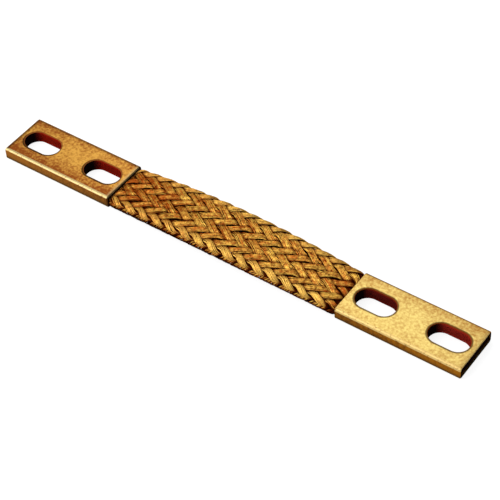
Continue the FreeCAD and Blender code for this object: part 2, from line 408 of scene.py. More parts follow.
        # The flats darken by cloudy tarnishing and speckle, and by a painted shade where the lamps'
        # reflection falls off across, along, and towards the long edges and the ends.
        first_darkening = self.start - NOISE_MIDDLE * (self.cloudiness + self.speckle)
        darkening = add_node(
            tree, "ShaderNodeMath", {"operation": "MULTIPLY_ADD"}, {1: self.across, 2: first_darkening},
            {0: share_across},
        ).outputs[0]
        for weight, socket in (
            (self.along, share_along),
            (self.edges, edge_share),
            (self.ends, end_share),
            (self.cloudiness, clouds),
            (self.speckle, grain),
        ):
            darkening = add_node(
                tree, "ShaderNodeMath", {"operation": "MULTIPLY_ADD"}, {1: weight}, {0: socket, 2: darkening}
            ).outputs[0]
        darkened = add_node(tree, "ShaderNodeClamp", links={0: darkening}).outputs[0]
        coats = []
        for first, second, share, layers in (
            (
                self.bright, self.tarnish, darkened,
                ((self.worn, masks["pale_rim"]), (self.burr, masks["dark_rim"])),
            ),
            (
                self.side_dull, self.side, masks["bared"],
                ((self.side_foot, masks["foot"]), (self.worn, masks["rubbed"])),
            ),
            (self.slot_wall, self.cut, masks["shaded"], ((self.slot_rim, masks["broken"]),)),
        ):
            coat = add_node(
                tree, "ShaderNodeMix", {"data_type": "RGBA"},
                {MIX_FIRST: linear(first), MIX_SECOND: linear(second)}, {0: share},
            ).outputs[MIX_RESULT]
            for tone, cover in layers:
                coat = add_node(
                    tree, "ShaderNodeMix", {"data_type": "RGBA"}, {MIX_SECOND: linear(tone)},
                    {0: cover, MIX_FIRST: coat},
                ).outputs[MIX_RESULT]
            coats.append(coat)
        flats, sides, slots = coats
        walls = add_node(
            tree, "ShaderNodeMix", {"data_type": "RGBA"}, None,
            {0: masks["outside"], MIX_FIRST: slots, MIX_SECOND: sides},
        ).outputs[MIX_RESULT]
        # Faces that look along the strap are painted almost black as shade.
        dark_walls = add_node(
            tree, "ShaderNodeMix", {"data_type": "RGBA"}, {MIX_SECOND: linear(self.cut)},
            {0: masks["sawn"], MIX_FIRST: walls},
        ).outputs[MIX_RESULT]
        metal_tone = add_node(
            tree, "ShaderNodeMix", {"data_type": "RGBA"}, None,
            {0: masks["burnish"], MIX_FIRST: dark_walls, MIX_SECOND: flats},
        ).outputs[MIX_RESULT]
        colour = add_node(
            tree, "ShaderNodeMix", {"data_type": "RGBA"}, {MIX_SECOND: linear(self.burr)},
            {0: masks["mouth_rim"], MIX_FIRST: metal_tone},
        ).outputs[MIX_RESULT]
        satin = add_node(
            tree, "ShaderNodeMapRange", None,
            {"To Min": self.flat_roughness, "To Max": self.stained_roughness}, {"Value": darkened},
        ).outputs[0]
        roughness = add_node(
            tree, "ShaderNodeMix", {"data_type": "FLOAT"}, {NUMBER_FIRST: self.wall_roughness},
            {0: masks["burnish"], NUMBER_SECOND: satin},
        ).outputs[0]
        bump = add_node(
            tree, "ShaderNodeBump", None,
            {"Strength": self.grain_strength, "Distance": self.grain_height_mm * MM}, {"Height": grain},
        ).outputs[0]
        unsawn = add_node(
            tree, "ShaderNodeMath", {"operation": "SUBTRACT"}, {0: 1.0}, {1: masks["sawn"]}
        ).outputs[0]
        skin = add_node(
            tree, "ShaderNodeMath", {"operation": "MULTIPLY"}, None, {0: masks["outside"], 1: unsawn}
        ).outputs[0]
        metal = add_node(
            tree, "ShaderNodeMath", {"operation": "MAXIMUM"}, None, {0: masks["burnish"], 1: skin}
        ).outputs[0]
        shader = add_node(
            tree, "ShaderNodeBsdfPrincipled", None,
            {"Specular IOR Level": 0.0, "Specular Tint": linear(self.edge_tint)},
            {"Base Color": colour, "Metallic": metal, "Roughness": roughness, "Normal": bump},
        )
        add_node(tree, "ShaderNodeOutputMaterial", links={"Surface": shader.outputs[0]})
        return material


@dataclass(frozen=True)
class DrawnCopperWire:
    """Bare copper wire, drawn bright, with wear, stains and painted light and shade.

    The backs of the floats are bright gold brown, with warm tones that vary partly at random and partly
    as painted light and shade along the strap, grain stains, and pale patches on the near and far edge
    floats that are wear with a painted highlight. The wire darkens where it dives under its neighbours
    and round the edges of the tube: painted shade that ends in brown black oxidised copper and shade in
    the deepest places. A pair of numbers is where a mark begins and where it is full: of a noise, or of
    the depth in millimetres under the back of the floats.
    """

    name: str = "drawn_copper_wire"
    bright: str = "#EEBF56"
    warm: str = "#BC6222"
    # Pale colour where wear and a painted highlight cover the edge floats.
    rubbed: str = "#EABC5C"
    shade: str = "#5C1B02"
    # Brown black of the deepest places: oxidised copper and painted shade.
    oxide: str = "#1A0400"
    edge_tint: str = "#E8C090"
    cloud_mm: float = 2.8
    grain_mm: float = 1.8
    tone_share: float = 0.5
    warm_noise: tuple[float, float] = (0.55, 0.95)
    stain_noise: tuple[float, float] = (0.44, 0.68)
    stain_amount: float = 0.85
    stain_left: float = 0.35
    # Depths at which the painted shade sets in, and where it deepens to oxidised copper and shade.
    hollow_depth: tuple[float, float] = (0.3, 0.8)
    oxide_depth: tuple[float, float] = (0.7, 1.15)
    roughness: float = 0.34
    shaded_roughness: float = 0.65
    oxide_metal: float = 0.8

    def material(self) -> bpy.types.Material:
        """Build the finish.

        Returns:
            The material for the wires.
        """
        material = new_material(self.name)
        tree = material.node_tree
        place = add_node(tree, "ShaderNodeTexCoord")
        depth = add_node(tree, "ShaderNodeAttribute", {"attribute_name": "depth"})
        tone = add_node(tree, "ShaderNodeAttribute", {"attribute_name": "tone"})
        rub = add_node(tree, "ShaderNodeAttribute", {"attribute_name": "rub"})
        clouds, grain = (
            add_node(
                tree, "ShaderNodeTexNoise", None,
                {"Scale": 1 / (size * MM), "Detail": 3.0, "Roughness": 0.65},
                {"Vector": place.outputs["Object"]},
            ).outputs["Fac"]
            for size in (self.cloud_mm, self.grain_mm)
        )
        mixed = add_node(
            tree, "ShaderNodeMath", {"operation": "MULTIPLY_ADD"}, {1: self.tone_share},
            {0: tone.outputs["Fac"], 2: clouds},
        )
        warmth, darkening, darkening_kept, hollow, burial = (
            add_node(
                tree, "ShaderNodeMapRange", None,
                {"From Min": begins, "From Max": full, "To Min": least, "To Max": most}, {"Value": socket},
            ).outputs[0]
            for (begins, full), (least, most), socket in (
                (self.warm_noise, (0.0, 1.0), mixed.outputs[0]),
                (self.stain_noise, (0.0, self.stain_amount), grain),
                ((0.0, 1.0), (1.0, self.stain_left), rub.outputs["Fac"]),
                (self.hollow_depth, (0.0, 1.0), depth.outputs["Fac"]),
                (self.oxide_depth, (0.0, 1.0), depth.outputs["Fac"]),
            )
        )
        darkened = add_node(
            tree, "ShaderNodeMath", {"operation": "MULTIPLY"}, None, {0: darkening, 1: darkening_kept}
        ).outputs[0]
        shaded = add_node(
            tree, "ShaderNodeMath", {"operation": "MAXIMUM"}, None, {0: hollow, 1: darkened}
        ).outputs[0]
        colour = add_node(
            tree, "ShaderNodeMix", {"data_type": "RGBA"},
            {MIX_FIRST: linear(self.bright), MIX_SECOND: linear(self.warm)}, {0: warmth},
        ).outputs[MIX_RESULT]
        for coat, cover in ((self.rubbed, rub.outputs["Fac"]), (self.shade, shaded), (self.oxide, burial)):
            colour = add_node(
                tree, "ShaderNodeMix", {"data_type": "RGBA"}, {MIX_SECOND: linear(coat)},
                {0: cover, MIX_FIRST: colour},
            ).outputs[MIX_RESULT]
        roughness, metallic = (
            add_node(
                tree, "ShaderNodeMapRange", None, {"To Min": clean, "To Max": covered}, {"Value": cover}
            ).outputs[0]
            for clean, covered, cover in (
                (self.roughness, self.shaded_roughness, shaded),
                (1.0, self.oxide_metal, burial),
            )
        )
        shader = add_node(
            tree, "ShaderNodeBsdfPrincipled", None,
            {"Specular IOR Level": 0.0, "Specular Tint": linear(self.edge_tint)},
            {"Base Color": colour, "Metallic": metallic, "Roughness": roughness},
        )
        add_node(tree, "ShaderNodeOutputMaterial", links={"Surface": shader.outputs[0]})
        return material


@dataclass(frozen=True)
class CutWireEnds:
    """Copper wire pressed solid and punched or sawed through.

    The faces show the wires side by side as flattened dots, dark red brown with black between them.
    Walls that face +X, walls nearer the middle of the strap and the outer end face are painted almost
    black as shade. A pair of numbers is where a mark begins and where it is full.
    """

    name: str = "pressed_wire_ends"
    wire: str = "#A01F0F"
    gap: str = "#440904"
    # Near black painted shade.
    sawn: str = "#0C080A"
    inner_shade: float = 0.1
    inner_mm: tuple[float, float] = (125.0, 100.0)
    arc_slope: tuple[float, float] = (0.25, 0.8)
    arc_shade: float = 0.98
    sawn_mm: tuple[float, float] = (OUTER_END - 2.4, OUTER_END - 1.4)
    sawn_shade: float = 0.95
    wire_mm: float = 0.66
    gap_share: tuple[float, float] = (0.02, 0.2)
    dent_mm: float = 0.1
    dent_strength: float = 0.6
    roughness: float = 0.8

    def material(self) -> bpy.types.Material:
        """Build the finish.

        Returns:
            The material for the pressed ends.
        """
        material = new_material(self.name)
        tree = material.node_tree
        place = add_node(tree, "ShaderNodeTexCoord")
        dots = add_node(
            tree, "ShaderNodeTexVoronoi", {"feature": "DISTANCE_TO_EDGE"},
            {"Scale": 1 / (self.wire_mm * MM)}, {"Vector": place.outputs["Object"]},
        )
        wire = add_node(
            tree, "ShaderNodeMapRange", None,
            {"From Min": self.gap_share[0], "From Max": self.gap_share[1]},
            {"Value": dots.outputs["Distance"]},
        )
        facing = add_node(tree, "ShaderNodeSeparateXYZ", links={0: place.outputs["Normal"]})
        spot = add_node(tree, "ShaderNodeSeparateXYZ", links={0: place.outputs["Object"]})
        outward = add_node(
            tree, "ShaderNodeMath", {"operation": "ABSOLUTE"}, links={0: spot.outputs["X"]}
        ).outputs[0]
        arcs, inner, sawn = (
            add_node(
                tree, "ShaderNodeMapRange", None,
                {"From Min": begins * unit, "From Max": full * unit, "To Max": most}, {"Value": socket},
            ).outputs[0]
            for (begins, full), unit, most, socket in (
                (self.arc_slope, 1.0, self.arc_shade, facing.outputs["X"]),
                (self.inner_mm, MM, self.inner_shade, outward),
                (self.sawn_mm, MM, self.sawn_shade, outward),
            )
        )
        # Walls facing +X, walls nearer the middle and the outer end face are painted dark as shade.
        dark = arcs
        for shade in (inner, sawn):
            dark = add_node(
                tree, "ShaderNodeMath", {"operation": "MAXIMUM"}, None, {0: dark, 1: shade}
            ).outputs[0]
        punched = add_node(
            tree, "ShaderNodeMix", {"data_type": "RGBA"},
            {MIX_FIRST: linear(self.gap), MIX_SECOND: linear(self.wire)}, {0: wire.outputs[0]},
        )
        colour = add_node(
            tree, "ShaderNodeMix", {"data_type": "RGBA"}, {MIX_SECOND: linear(self.sawn)},
            {0: dark, MIX_FIRST: punched.outputs[MIX_RESULT]},
        )
        bump = add_node(
            tree, "ShaderNodeBump", None,
            {"Strength": self.dent_strength, "Distance": self.dent_mm * MM}, {"Height": wire.outputs[0]},
        )
        shader = add_node(
            tree, "ShaderNodeBsdfPrincipled", None,
            {"Specular IOR Level": 0.0, "Roughness": self.roughness},
            {"Base Color": colour.outputs[MIX_RESULT], "Normal": bump.outputs[0]},
        )
        add_node(tree, "ShaderNodeOutputMaterial", links={"Surface": shader.outputs[0]})
        return material


@dataclass(frozen=True)
class StudioPaper:
    """White seamless paper under the strap.

    The camera and the metal see it as white, with the strap's soft shadow left on it.
    """

    name: str = "white_studio_paper"
    paper: str = "#B8B8B6"
    shadow_share: str = "#8C8C8C"
    glow: float = 0.86

    def material(self) -> bpy.types.Material:
        """Build the finish.

        Returns:
            The material for the floor.
        """
        material = new_material(self.name)
        tree = material.node_tree
        ray = add_node(tree, "ShaderNodeLightPath")
        seen = ray.outputs["Is Camera Ray"]
        for kind in ("Is Glossy Ray", "Is Transmission Ray"):
            seen = add_node(
                tree, "ShaderNodeMath", {"operation": "MAXIMUM"}, None, {0: seen, 1: ray.outputs[kind]}
            ).outputs[0]
        lit = add_node(tree, "ShaderNodeBsdfDiffuse", None, {"Color": linear(self.paper)})
        shadow = add_node(tree, "ShaderNodeBsdfDiffuse", None, {"Color": linear(self.shadow_share)})
        white = add_node(
            tree, "ShaderNodeEmission", None, {"Color": linear("#FFFFFF"), "Strength": self.glow}
        )
        shown = add_node(
            tree, "ShaderNodeAddShader", None, None, {0: shadow.outputs[0], 1: white.outputs[0]}
        )
        paper = add_node(
            tree, "ShaderNodeMixShader", None, None,
            {0: seen, 1: lit.outputs[0], 2: shown.outputs[0]},
        )
        add_node(tree, "ShaderNodeOutputMaterial", links={"Surface": paper.outputs[0]})
        return material


@dataclass
class Ferrule:
    """A slotted tube ferrule: the CAD node itself, dressed."""

    end: End
    finish: PressedCopperTube

    @property
    def node(self) -> str:
        """Name of the CAD node."""
        return f"{self.end.word}_ferrule"

    def dress(self, nodes: dict[str, bpy.types.Object]) -> None:
        """Give the CAD node its finish.

        Args:
            nodes: CAD nodes by name.
        """
        nodes[self.node].material_slots[0].material = self.finish.material()
        log.info("%s dressed in %s", self.node, self.finish.name)


@dataclass
class PressedEnd:
    """The end of the braid that fills a ferrule, pressed solid and slotted with it."""

    end: End
    finish: CutWireEnds
    recess: float = 0.8
    arc_steps: int = 24
    clearance: float = 0.01

    def slot_outline(self, middle: float) -> list[tuple[float, float]]:
        """Outline of one slot in plan.

        Args:
            middle: Where the slot's middle is along X.

        Returns:
            Corner points in millimetres, once round.
        """
        radius = SLOT_WIDTH / 2
        outline = []
        for side in (1, -1):
            for step in range(self.arc_steps + 1):
                angle = math.pi * (step / self.arc_steps - side / 2)
                centre = middle + side * SLOT_REACH
                outline.append((centre + radius * math.cos(angle), radius * math.sin(angle)))
        return outline

    def build(self) -> bpy.types.Object:
        """Make the piece from its outline in plan, with the two slots as holes.

        Returns:
            The pressed end.
        """
        low, high = (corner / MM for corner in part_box(f"{self.end.word}_ferrule"))
        middle = (low + high) / 2
        half_length = (high.x - low.x) / 2 - self.recess
        half_width = (high.y - low.y) / 2 - TUBE_WALL - self.clearance
        block = [
            (middle.x - half_length, -half_width),
            (middle.x + half_length, -half_width),
            (middle.x + half_length, half_width),
            (middle.x - half_length, half_width),
        ]
        plan = bpy.data.curves.new(f"{self.end.word}_pressed_end_plan", "CURVE")
        plan.dimensions = "2D"
        plan.fill_mode = "BOTH"
        plan.extrude = ((high.z - low.z) / 2 - TUBE_WALL - self.clearance) * MM
        slots = [self.slot_outline(middle.x + side * SLOT_SPACING / 2) for side in (-1, 1)]
        for outline in (block, *slots):
            spline = plan.splines.new("POLY")
            spline.points.add(len(outline) - 1)
            spline.use_cyclic_u = True
            for point, (x, y) in zip(spline.points, outline):
                point.co = (x * MM, y * MM, 0.0, 1.0)
        drawing = bpy.data.objects.new(plan.name, plan)
        mesh = bpy.data.meshes.new_from_object(drawing)
        bpy.data.objects.remove(drawing)
        bpy.data.curves.remove(plan)
        mesh.name = f"{self.end.word}_pressed_end"
        mesh.transform(Matrix.Translation((0.0, 0.0, middle.z * MM)))
        return add_piece(mesh.name, mesh, "braid_copper", "braid")

    def dress(self, piece: bpy.types.Object) -> None:
        """Give the piece its finish.

        Args:
            piece: The pressed end.
        """
        piece.data.materials.clear()
        piece.data.materials.append(self.finish.material())
        log.info("%s dressed in %s", piece.name, self.finish.name)


@dataclass(frozen=True)
class Ramp:
    """A straight run from nothing at one value to one at another, level beyond both."""

    begins: float
    full: float

    def at(self, values: np.ndarray) -> np.ndarray:
        """How far along the run values are.

        Args:
            values: Where to look.

        Returns:
            Shares from zero to one.
        """
        return np.clip((values - self.begins) / (self.full - self.begins), 0, 1)


@dataclass(frozen=True)
class WireWear:
    """How painted shade, wear with painted highlight, and tone spread over the braid.

    The shades are painted shade: under the tube's lower edge, by the mouths, at the right mouth's rim and
    along the row behind the near edge, with less of it near the near edge as painted light. The
    lightening towards the right is a painted light. The near and far edge floats get wear with a painted
    highlight, less on the rising lay. The tone, random for each carrier and wire, grows warmer towards
    the left end and by the right mouth as painted shade.

    Runs are places along the strap in millimetres, apart from the edge's, which is the upward part of
    the tube's outward direction. A pair of numbers is an amount halfway along the strap and its gain
    towards the right end. Shades count as depth in millimetres. The tone of the right end begins at a
    share of the way there and is full some steps further on.
    """

    gain_run: float = 40.0
    edge_run: Ramp = Ramp(0.3, -0.15)
    edge_shade: tuple[float, float] = (1.1, -0.2)
    mouth_run: Ramp = Ramp(62.0, 74.0)
    mouth_ends: tuple[float, float] = (0.6, 0.4)
    mouth_shade: float = 0.1
    rim_run: Ramp = Ramp(70.5, 74.5)
    rim_shade: float = 0.26
    # A painted light that rises towards the right.
    bared_run: Ramp = Ramp(-45.0, -15.0)
    bared: float = 0.06
    dull_run: Ramp = Ramp(0.0, -40.0)
    dull_shade: float = 0.16
    near_shift: float = 0.3
    # Wear with a painted highlight on the near and far edge floats, less on the rising lay.
    near_rub: tuple[float, float] = (0.65, 0.17)
    near_light: tuple[float, float] = (0.2, -0.1)
    rising_rub: float = 0.25
    far_rub: float = 0.55
    least_relief: float = 0.6
    carrier_tone: float = 0.4
    wire_tone: float = 0.6
    # A tone that grows warmer towards the left: painted light and shade along the strap.
    tone_gain: float = -0.2
    # Warmer tone by the right mouth: painted shade.
    end_tone: float = 0.3
    end_tone_share: float = 0.78
    end_tone_steps: float = 3.0

    def graded(self, amount: tuple[float, float], x: np.ndarray) -> np.ndarray:
        """An amount that changes along the strap.

        Args:
            amount: Its value halfway along, and its gain towards the right end.
            x: Places along the strap.

        Returns:
            The amount at each place.
        """
        return amount[0] + amount[1] * np.clip(x / self.gain_run, -1, 1)


@dataclass
class Braid:
    """The free length of the strap: a flat oval tube of carriers, each over two and under two.

    Places on the tube are steps round its section, over the top from the edge step in the middle of
    the near edge, and steps along it. Carriers of a lay lie two steps apart, and the lays cross at
    whole steps. A row is a place round the section and how far its influence goes.
    """

    finish: DrawnCopperWire
    wear: WireWear = field(default_factory=WireWear)
    mouth_clearance: float = 0.1
    seat: float = 1.8
    width: float = 36.4
    thickness: float = 8.2
    arch: float = 3.1
    relief: float = 1.0
    mouth_relief: float = 0.5
    swell_power: int = 2
    mouth_power: int = 90
    steps_round: int = 24
    edge_step: float = 0.5
    steps_along: int = 16
    repeat: float = 4.0
    rising_crest: float = 3.5
    falling_crest: float = 1.5
    wires: int = 8
    wire_half_height: float = 0.24
    wire_half_width: float = 0.37
    rising_fill: float = 0.7
    falling_fill: float = 0.8
    under_spread: float = 0.36
    under_power: int = 3
    lower_spread: float = 0.3
    lower_calm: float = 0.8
    upper_row: tuple[float, float] = (1.5, 1.35)
    lower_row: tuple[float, float] = (-0.1, 2.0)
    edge_turn: tuple[float, float] = (0.5, 1.2)
    far_row: tuple[float, float] = (11.3, 1.35)
    dull_row: tuple[float, float] = (3.0, 1.3)
    row_fade: float = 0.7
    edge_shift: float = 0.35
    dive: float = 0.56
    dome: float = 0.5
    dome_shares: tuple[float, float] = (0.6, 0.4)
    turn_share: float = 0.42
    edge_narrowing: float = 0.16
    edge_dome: float = 0.3
    samples: int = 7
    sides: int = 6
    sway: float = 0.11
    wander: float = 0.07
    drift_steps: tuple[float, ...] = (23.0, 9.0, 4.3)
    drift_size: float = 1.7
    rng: np.random.Generator = field(default_factory=lambda: np.random.default_rng(SEED))

    @property
    def reach(self) -> float:
        """Half the length of the wires along X."""
        return MOUTH + self.seat

    def section(self, x: np.ndarray) -> tuple[np.ndarray, np.ndarray, np.ndarray, np.ndarray]:
        """The tube's section along the strap.

        Args:
            x: Places along the strap.

        Returns:
            Half width and half thickness at the foot of the relief, height of the middle, relief.
        """
        share = np.minimum(np.abs(x) / MOUTH, 1.0)
        fullness = 1 - (share**self.swell_power + share**self.mouth_power) / 2
        relief = self.mouth_relief + (self.relief - self.mouth_relief) * fullness
        inset = TUBE_WALL + self.mouth_clearance
        mouth_width = FERRULE_WIDTH - 2 * inset
        mouth_thickness = FERRULE_THICKNESS - 2 * inset
        width = mouth_width + (self.width - mouth_width) * fullness
        thickness = mouth_thickness + (self.thickness - mouth_thickness) * fullness
        middle = FERRULE_THICKNESS / 2 + self.arch * (1 - share**2)
        return width / 2 - relief, thickness / 2 - relief, middle, relief

    def place(
        self, around: np.ndarray, x: np.ndarray, lift: np.ndarray
    ) -> tuple[np.ndarray, np.ndarray]:
        """Points of the tube.

        Args:
            around: Steps round the section.
            x: Places along the strap.
            lift: Heights above the foot of the relief.

        Returns:
            Points, and the tube's outward directions there.
        """
        half_width, half_thickness, middle, _ = self.section(x)
        flat = 2 * (half_width - half_thickness)
        quarter = math.pi / 2 * half_thickness
        whole = 2 * flat + 4 * quarter
        travel = ((around - self.edge_step) / self.steps_round) % 1.0 * whole
        below = travel > whole / 2
        travel = np.where(below, whole - travel, travel)
        run = np.clip(travel - quarter, 0, flat)
        angle = math.pi - (travel - run) / half_thickness
        angle = np.where(below, -angle, angle)
        outward = np.stack([np.zeros_like(x), np.cos(angle), np.sin(angle)], -1)
        spine = np.stack([x, run - flat / 2, middle], -1)
        return spine + outward * (half_thickness + lift)[:, None], outward

    def drift(self, along: np.ndarray, amount: float) -> np.ndarray:
        """A smooth random wander along the strap.

        Args:
            along: Steps along the strap.
            amount: Its usual size.

        Returns:
            One value for each step.
        """
        waves = np.zeros_like(along)
        for step_count in self.drift_steps:
            turn = self.rng.uniform(0, 2 * math.pi)
            waves += self.rng.normal() * np.sin(2 * math.pi * along / step_count + turn)
        return amount * waves / self.drift_size

    def over(self, lay: Lay, phase: np.ndarray) -> np.ndarray:
        """How high a carrier rides.

        Args:
            lay: The carrier's lay.
            phase: Steps round the section, where the carrier's middle is.

        Returns:
            One where it lies over the other lay, minus one where it lies under it.
        """
        crest = self.rising_crest if lay is Lay.RISING else self.falling_crest
        half_repeat = self.repeat / 2
        away = np.abs((phase - crest + half_repeat) % self.repeat - half_repeat)
        turn = self.repeat / 4
        return 1 - 2 * smooth(Ramp(turn - self.turn_share, turn + self.turn_share).at(away))

    def beside(self, around: np.ndarray, row: tuple[float, float]) -> np.ndarray:
        """How close places round the section are to a row of floats.

        Args:
            around: Steps round the section.
            row: Middle of the row in steps round, and how far its influence goes.

        Returns:
            One in the middle of the row, falling to nothing beside it.
        """
        half_turn = self.steps_round / 2
        away = np.abs((around - row[0] + half_turn) % self.steps_round - half_turn)
        return smooth(Ramp(row[1], row[1] - self.row_fade).at(away))

    def wire(
        self, lay: Lay, start: float, offset: float, sway: np.ndarray, along: np.ndarray
    ) -> tuple[np.ndarray, np.ndarray, np.ndarray]:
        """One wire of a carrier as a tube.

        Args:
            lay: The carrier's lay.
            start: Steps round the section of the carrier's middle, halfway along the strap.
            offset: The wire's place across the carrier, from minus one to one.
            sway: Sideways wander of the whole carrier, in steps round.
            along: Steps along the strap.

        Returns:
            Ring points of the tube, their depth under the back of the floats with painted shade added, and
            how far wear and painted highlight cover them.
        """
        x = along * self.reach / self.steps_along
        course = lay.value * along + start + sway
        fill = self.rising_fill if lay is Lay.RISING else self.falling_fill
        buried = (1 - self.over(lay, course)) / 2
        spread = fill + self.under_spread * buried**self.under_power
        upper = self.beside(course, self.upper_row)
        lower = self.beside(course, self.lower_row)
        if lay is Lay.FALLING:
            spread *= 1 - self.edge_narrowing * upper
            lower = np.zeros_like(lower)
        spread += self.lower_spread * lower
        across = spread * offset + self.drift(along, self.wander)
        around = course + across
        across = across + sway
        relief = self.section(x)[3]
        share = relief / self.relief
        phase = around - across / 2 * (1 - lower)
        high = self.over(lay, phase - self.edge_shift * self.beside(phase, self.edge_turn))
        lift = relief - self.wire_half_height - share * self.dive * (1 - high)
        dome = self.dome * (1 + self.edge_dome * upper - self.lower_calm * lower)
        lift -= share * dome * offset**2 * (self.dome_shares[0] + self.dome_shares[1] * high)
        lift += self.drift(along, self.wander) * share
        spine, outward = self.place(around, x, lift)
        ahead = np.gradient(spine, axis=0)
        ahead /= np.linalg.norm(ahead, axis=1)[:, None]
        aside = np.cross(ahead, outward)
        aside /= np.linalg.norm(aside, axis=1)[:, None]
        upright = np.cross(aside, ahead)
        angles = 2 * math.pi * np.arange(self.sides) / self.sides
        rise = self.wire_half_height * np.cos(angles)
        reach = self.wire_half_width * np.sin(angles)
        points = spine[:, None] + rise[None, :, None] * upright[:, None]
        points += reach[None, :, None] * aside[:, None]
        sunk = (relief - lift)[:, None] - rise[None, :]
        depth, rubbed = self.shading(lay, around, x, outward[:, 2], share, sunk)
        return points, depth, rubbed

    def shading(
        self,
        lay: Lay,
        around: np.ndarray,
        x: np.ndarray,
        upward: np.ndarray,
        share: np.ndarray,
        sunk: np.ndarray,
    ) -> tuple[np.ndarray, np.ndarray]:
        """Painted shade, and wear with painted highlight, along one wire.

        Args:
            lay: The carrier's lay.
            around: Steps round the section.
            x: Places along the strap.
            upward: Upward part of the tube's outward direction.
            share: The relief as a share of its full height.
            sunk: How far the ring points lie under the back of the floats.

        Returns:
            Depth of the ring points with the painted shade in it, and how far wear and painted highlight
            cover each of them.
        """
        wear = self.wear
        # Painted shade under the lower edge, by the mouths, at the right mouth's rim and on the row behind
        # the near edge, and a painted light that rises towards the right.
        edge = wear.graded(wear.edge_shade, x) * wear.edge_run.at(upward)
        mouth = wear.mouth_run.at(np.abs(x)) * (wear.mouth_ends[0] + wear.mouth_ends[1] * np.sign(x))
        bared = wear.bared * wear.bared_run.at(x) - wear.rim_shade * wear.rim_run.at(x)
        bared -= wear.dull_shade * self.beside(around, self.dull_row) * wear.dull_run.at(x)
        near = self.beside(around - wear.near_shift, self.upper_row)
        # Wear and painted highlight on the edge floats.
        rub = wear.graded(wear.near_rub, x) * near
        if lay is Lay.RISING:
            rub *= wear.rising_rub
        rub += wear.far_rub * self.beside(around, self.far_row)
        lit = 1 - wear.graded(wear.near_light, x) * near
        depth = sunk * (lit / np.maximum(share, wear.least_relief))[:, None]
        depth += (edge + wear.mouth_shade * mouth - bared)[:, None]
        return depth, np.repeat(rub * (1 - mouth), self.sides)

    def build(self, lay: Lay, first: int) -> bpy.types.Object:
        """Make every other carrier of one lay as one piece.

        Args:
            lay: The lay.
            first: The first of its carriers.

        Returns:
            The piece.
        """
        along = np.linspace(-1, 1, 2 * self.steps_along * self.samples + 1) * self.steps_along
        rings = len(along)
        here = np.arange(rings - 1)[:, None] * self.sides + np.arange(self.sides)[None]
        next_side = (np.arange(self.sides) + 1) % self.sides
        beside = np.arange(rings - 1)[:, None] * self.sides + next_side[None]
        skin = np.stack([here, beside, beside + self.sides, here + self.sides], -1).reshape(-1, 4)
        cap = np.array([(0, side, side + 1, side + 2) for side in range(1, self.sides - 2, 2)])
        skin = np.concatenate([skin, cap[:, ::-1], cap + (rings - 1) * self.sides])
        # Warmer tone by the right mouth: painted shade.
        end_start = self.wear.end_tone_share * self.steps_along
        end_tone = self.wear.end_tone * Ramp(end_start, end_start + self.wear.end_tone_steps).at(along)
        points, depths, tones, rubs_and_highlights, faces = [], [], [], [], []
        for carrier in range(first, self.steps_round // 2, 2):
            sway = self.drift(along, self.sway)
            shade = self.rng.uniform()
            for wire in range(self.wires):
                offset = 2 * (wire + 0.5) / self.wires - 1
                tube, depth, rubbed = self.wire(lay, 2 * carrier + 1, offset, sway, along)
                faces.append(skin + len(points) * rings * self.sides)
                points.append(tube.reshape(-1, 3))
                depths.append(depth.reshape(-1))
                rubs_and_highlights.append(rubbed)
                tone = self.wear.carrier_tone * shade + self.wear.wire_tone * self.rng.uniform()
                tone += self.wear.tone_gain * along / self.steps_along + end_tone
                tones.append(np.repeat(tone, self.sides))
        name = f"{lay.name.lower()}_lay_{'odd' if first % 2 else 'even'}"
        mesh = bpy.data.meshes.new(name)
        mesh.from_pydata(np.concatenate(points) * MM, [], np.concatenate(faces))
        mesh.polygons.foreach_set("use_smooth", np.ones(len(mesh.polygons), bool))
        for label, values in (("depth", depths), ("tone", tones), ("rub", rubs_and_highlights)):
            attribute = mesh.attributes.new(label, "FLOAT", "POINT")
            attribute.data.foreach_set("value", np.concatenate(values).astype(np.float32))
        mesh.update()
        return add_piece(name, mesh, "braid_copper", "braid")

    def assemble(self) -> list[bpy.types.Object]:
        """Make both lays, each as two pieces of alternate carriers.

        Returns:
            The four pieces.
        """
        return [self.build(lay, first) for lay in Lay for first in (0, 1)]

    def dress(self, pieces: list[bpy.types.Object]) -> None:
        """Give the pieces their finish.

        Args:
            pieces: The pieces of both lays.
        """
        material = self.finish.material()
        for piece in pieces:
            piece.data.materials.append(material)
            log.info("%s dressed in %s, %d faces", piece.name, self.finish.name, len(piece.data.polygons))


@dataclass(frozen=True)
class Softbox:
    """A rectangular studio lamp that points at the strap.

    Its brightness is the radiance of its front, so that a mirror would show it that bright. Bearing and
    elevation are in degrees and lengths in metres.
    """

    name: str
    bearing: float
    elevation: float
    distance: float
    width: float
    height: float
    radiance: float
    target_x: float = 0.0

    def build(self) -> None:
        """Put the lamp into the scene."""
        lamp = bpy.data.lights.new(self.name, "AREA")
        lamp.shape = "RECTANGLE"
        lamp.size = self.width
        lamp.size_y = self.height
        lamp.energy = self.radiance * math.pi * self.width * self.height
        stand = bpy.data.objects.new(self.name, lamp)
        bearing = math.radians(self.bearing)
        elevation = math.radians(self.elevation)
        away = Vector((
            math.cos(bearing) * math.cos(elevation),
            math.sin(bearing) * math.cos(elevation),
            math.sin(elevation),
        ))
        stand.location = Vector((self.target_x, 0.0, 0.0)) + away * self.distance
        stand.rotation_euler = away.to_track_quat("Z", "Y").to_euler()
        bpy.context.scene.collection.objects.link(stand)
        log.info("%s set up", self.name)


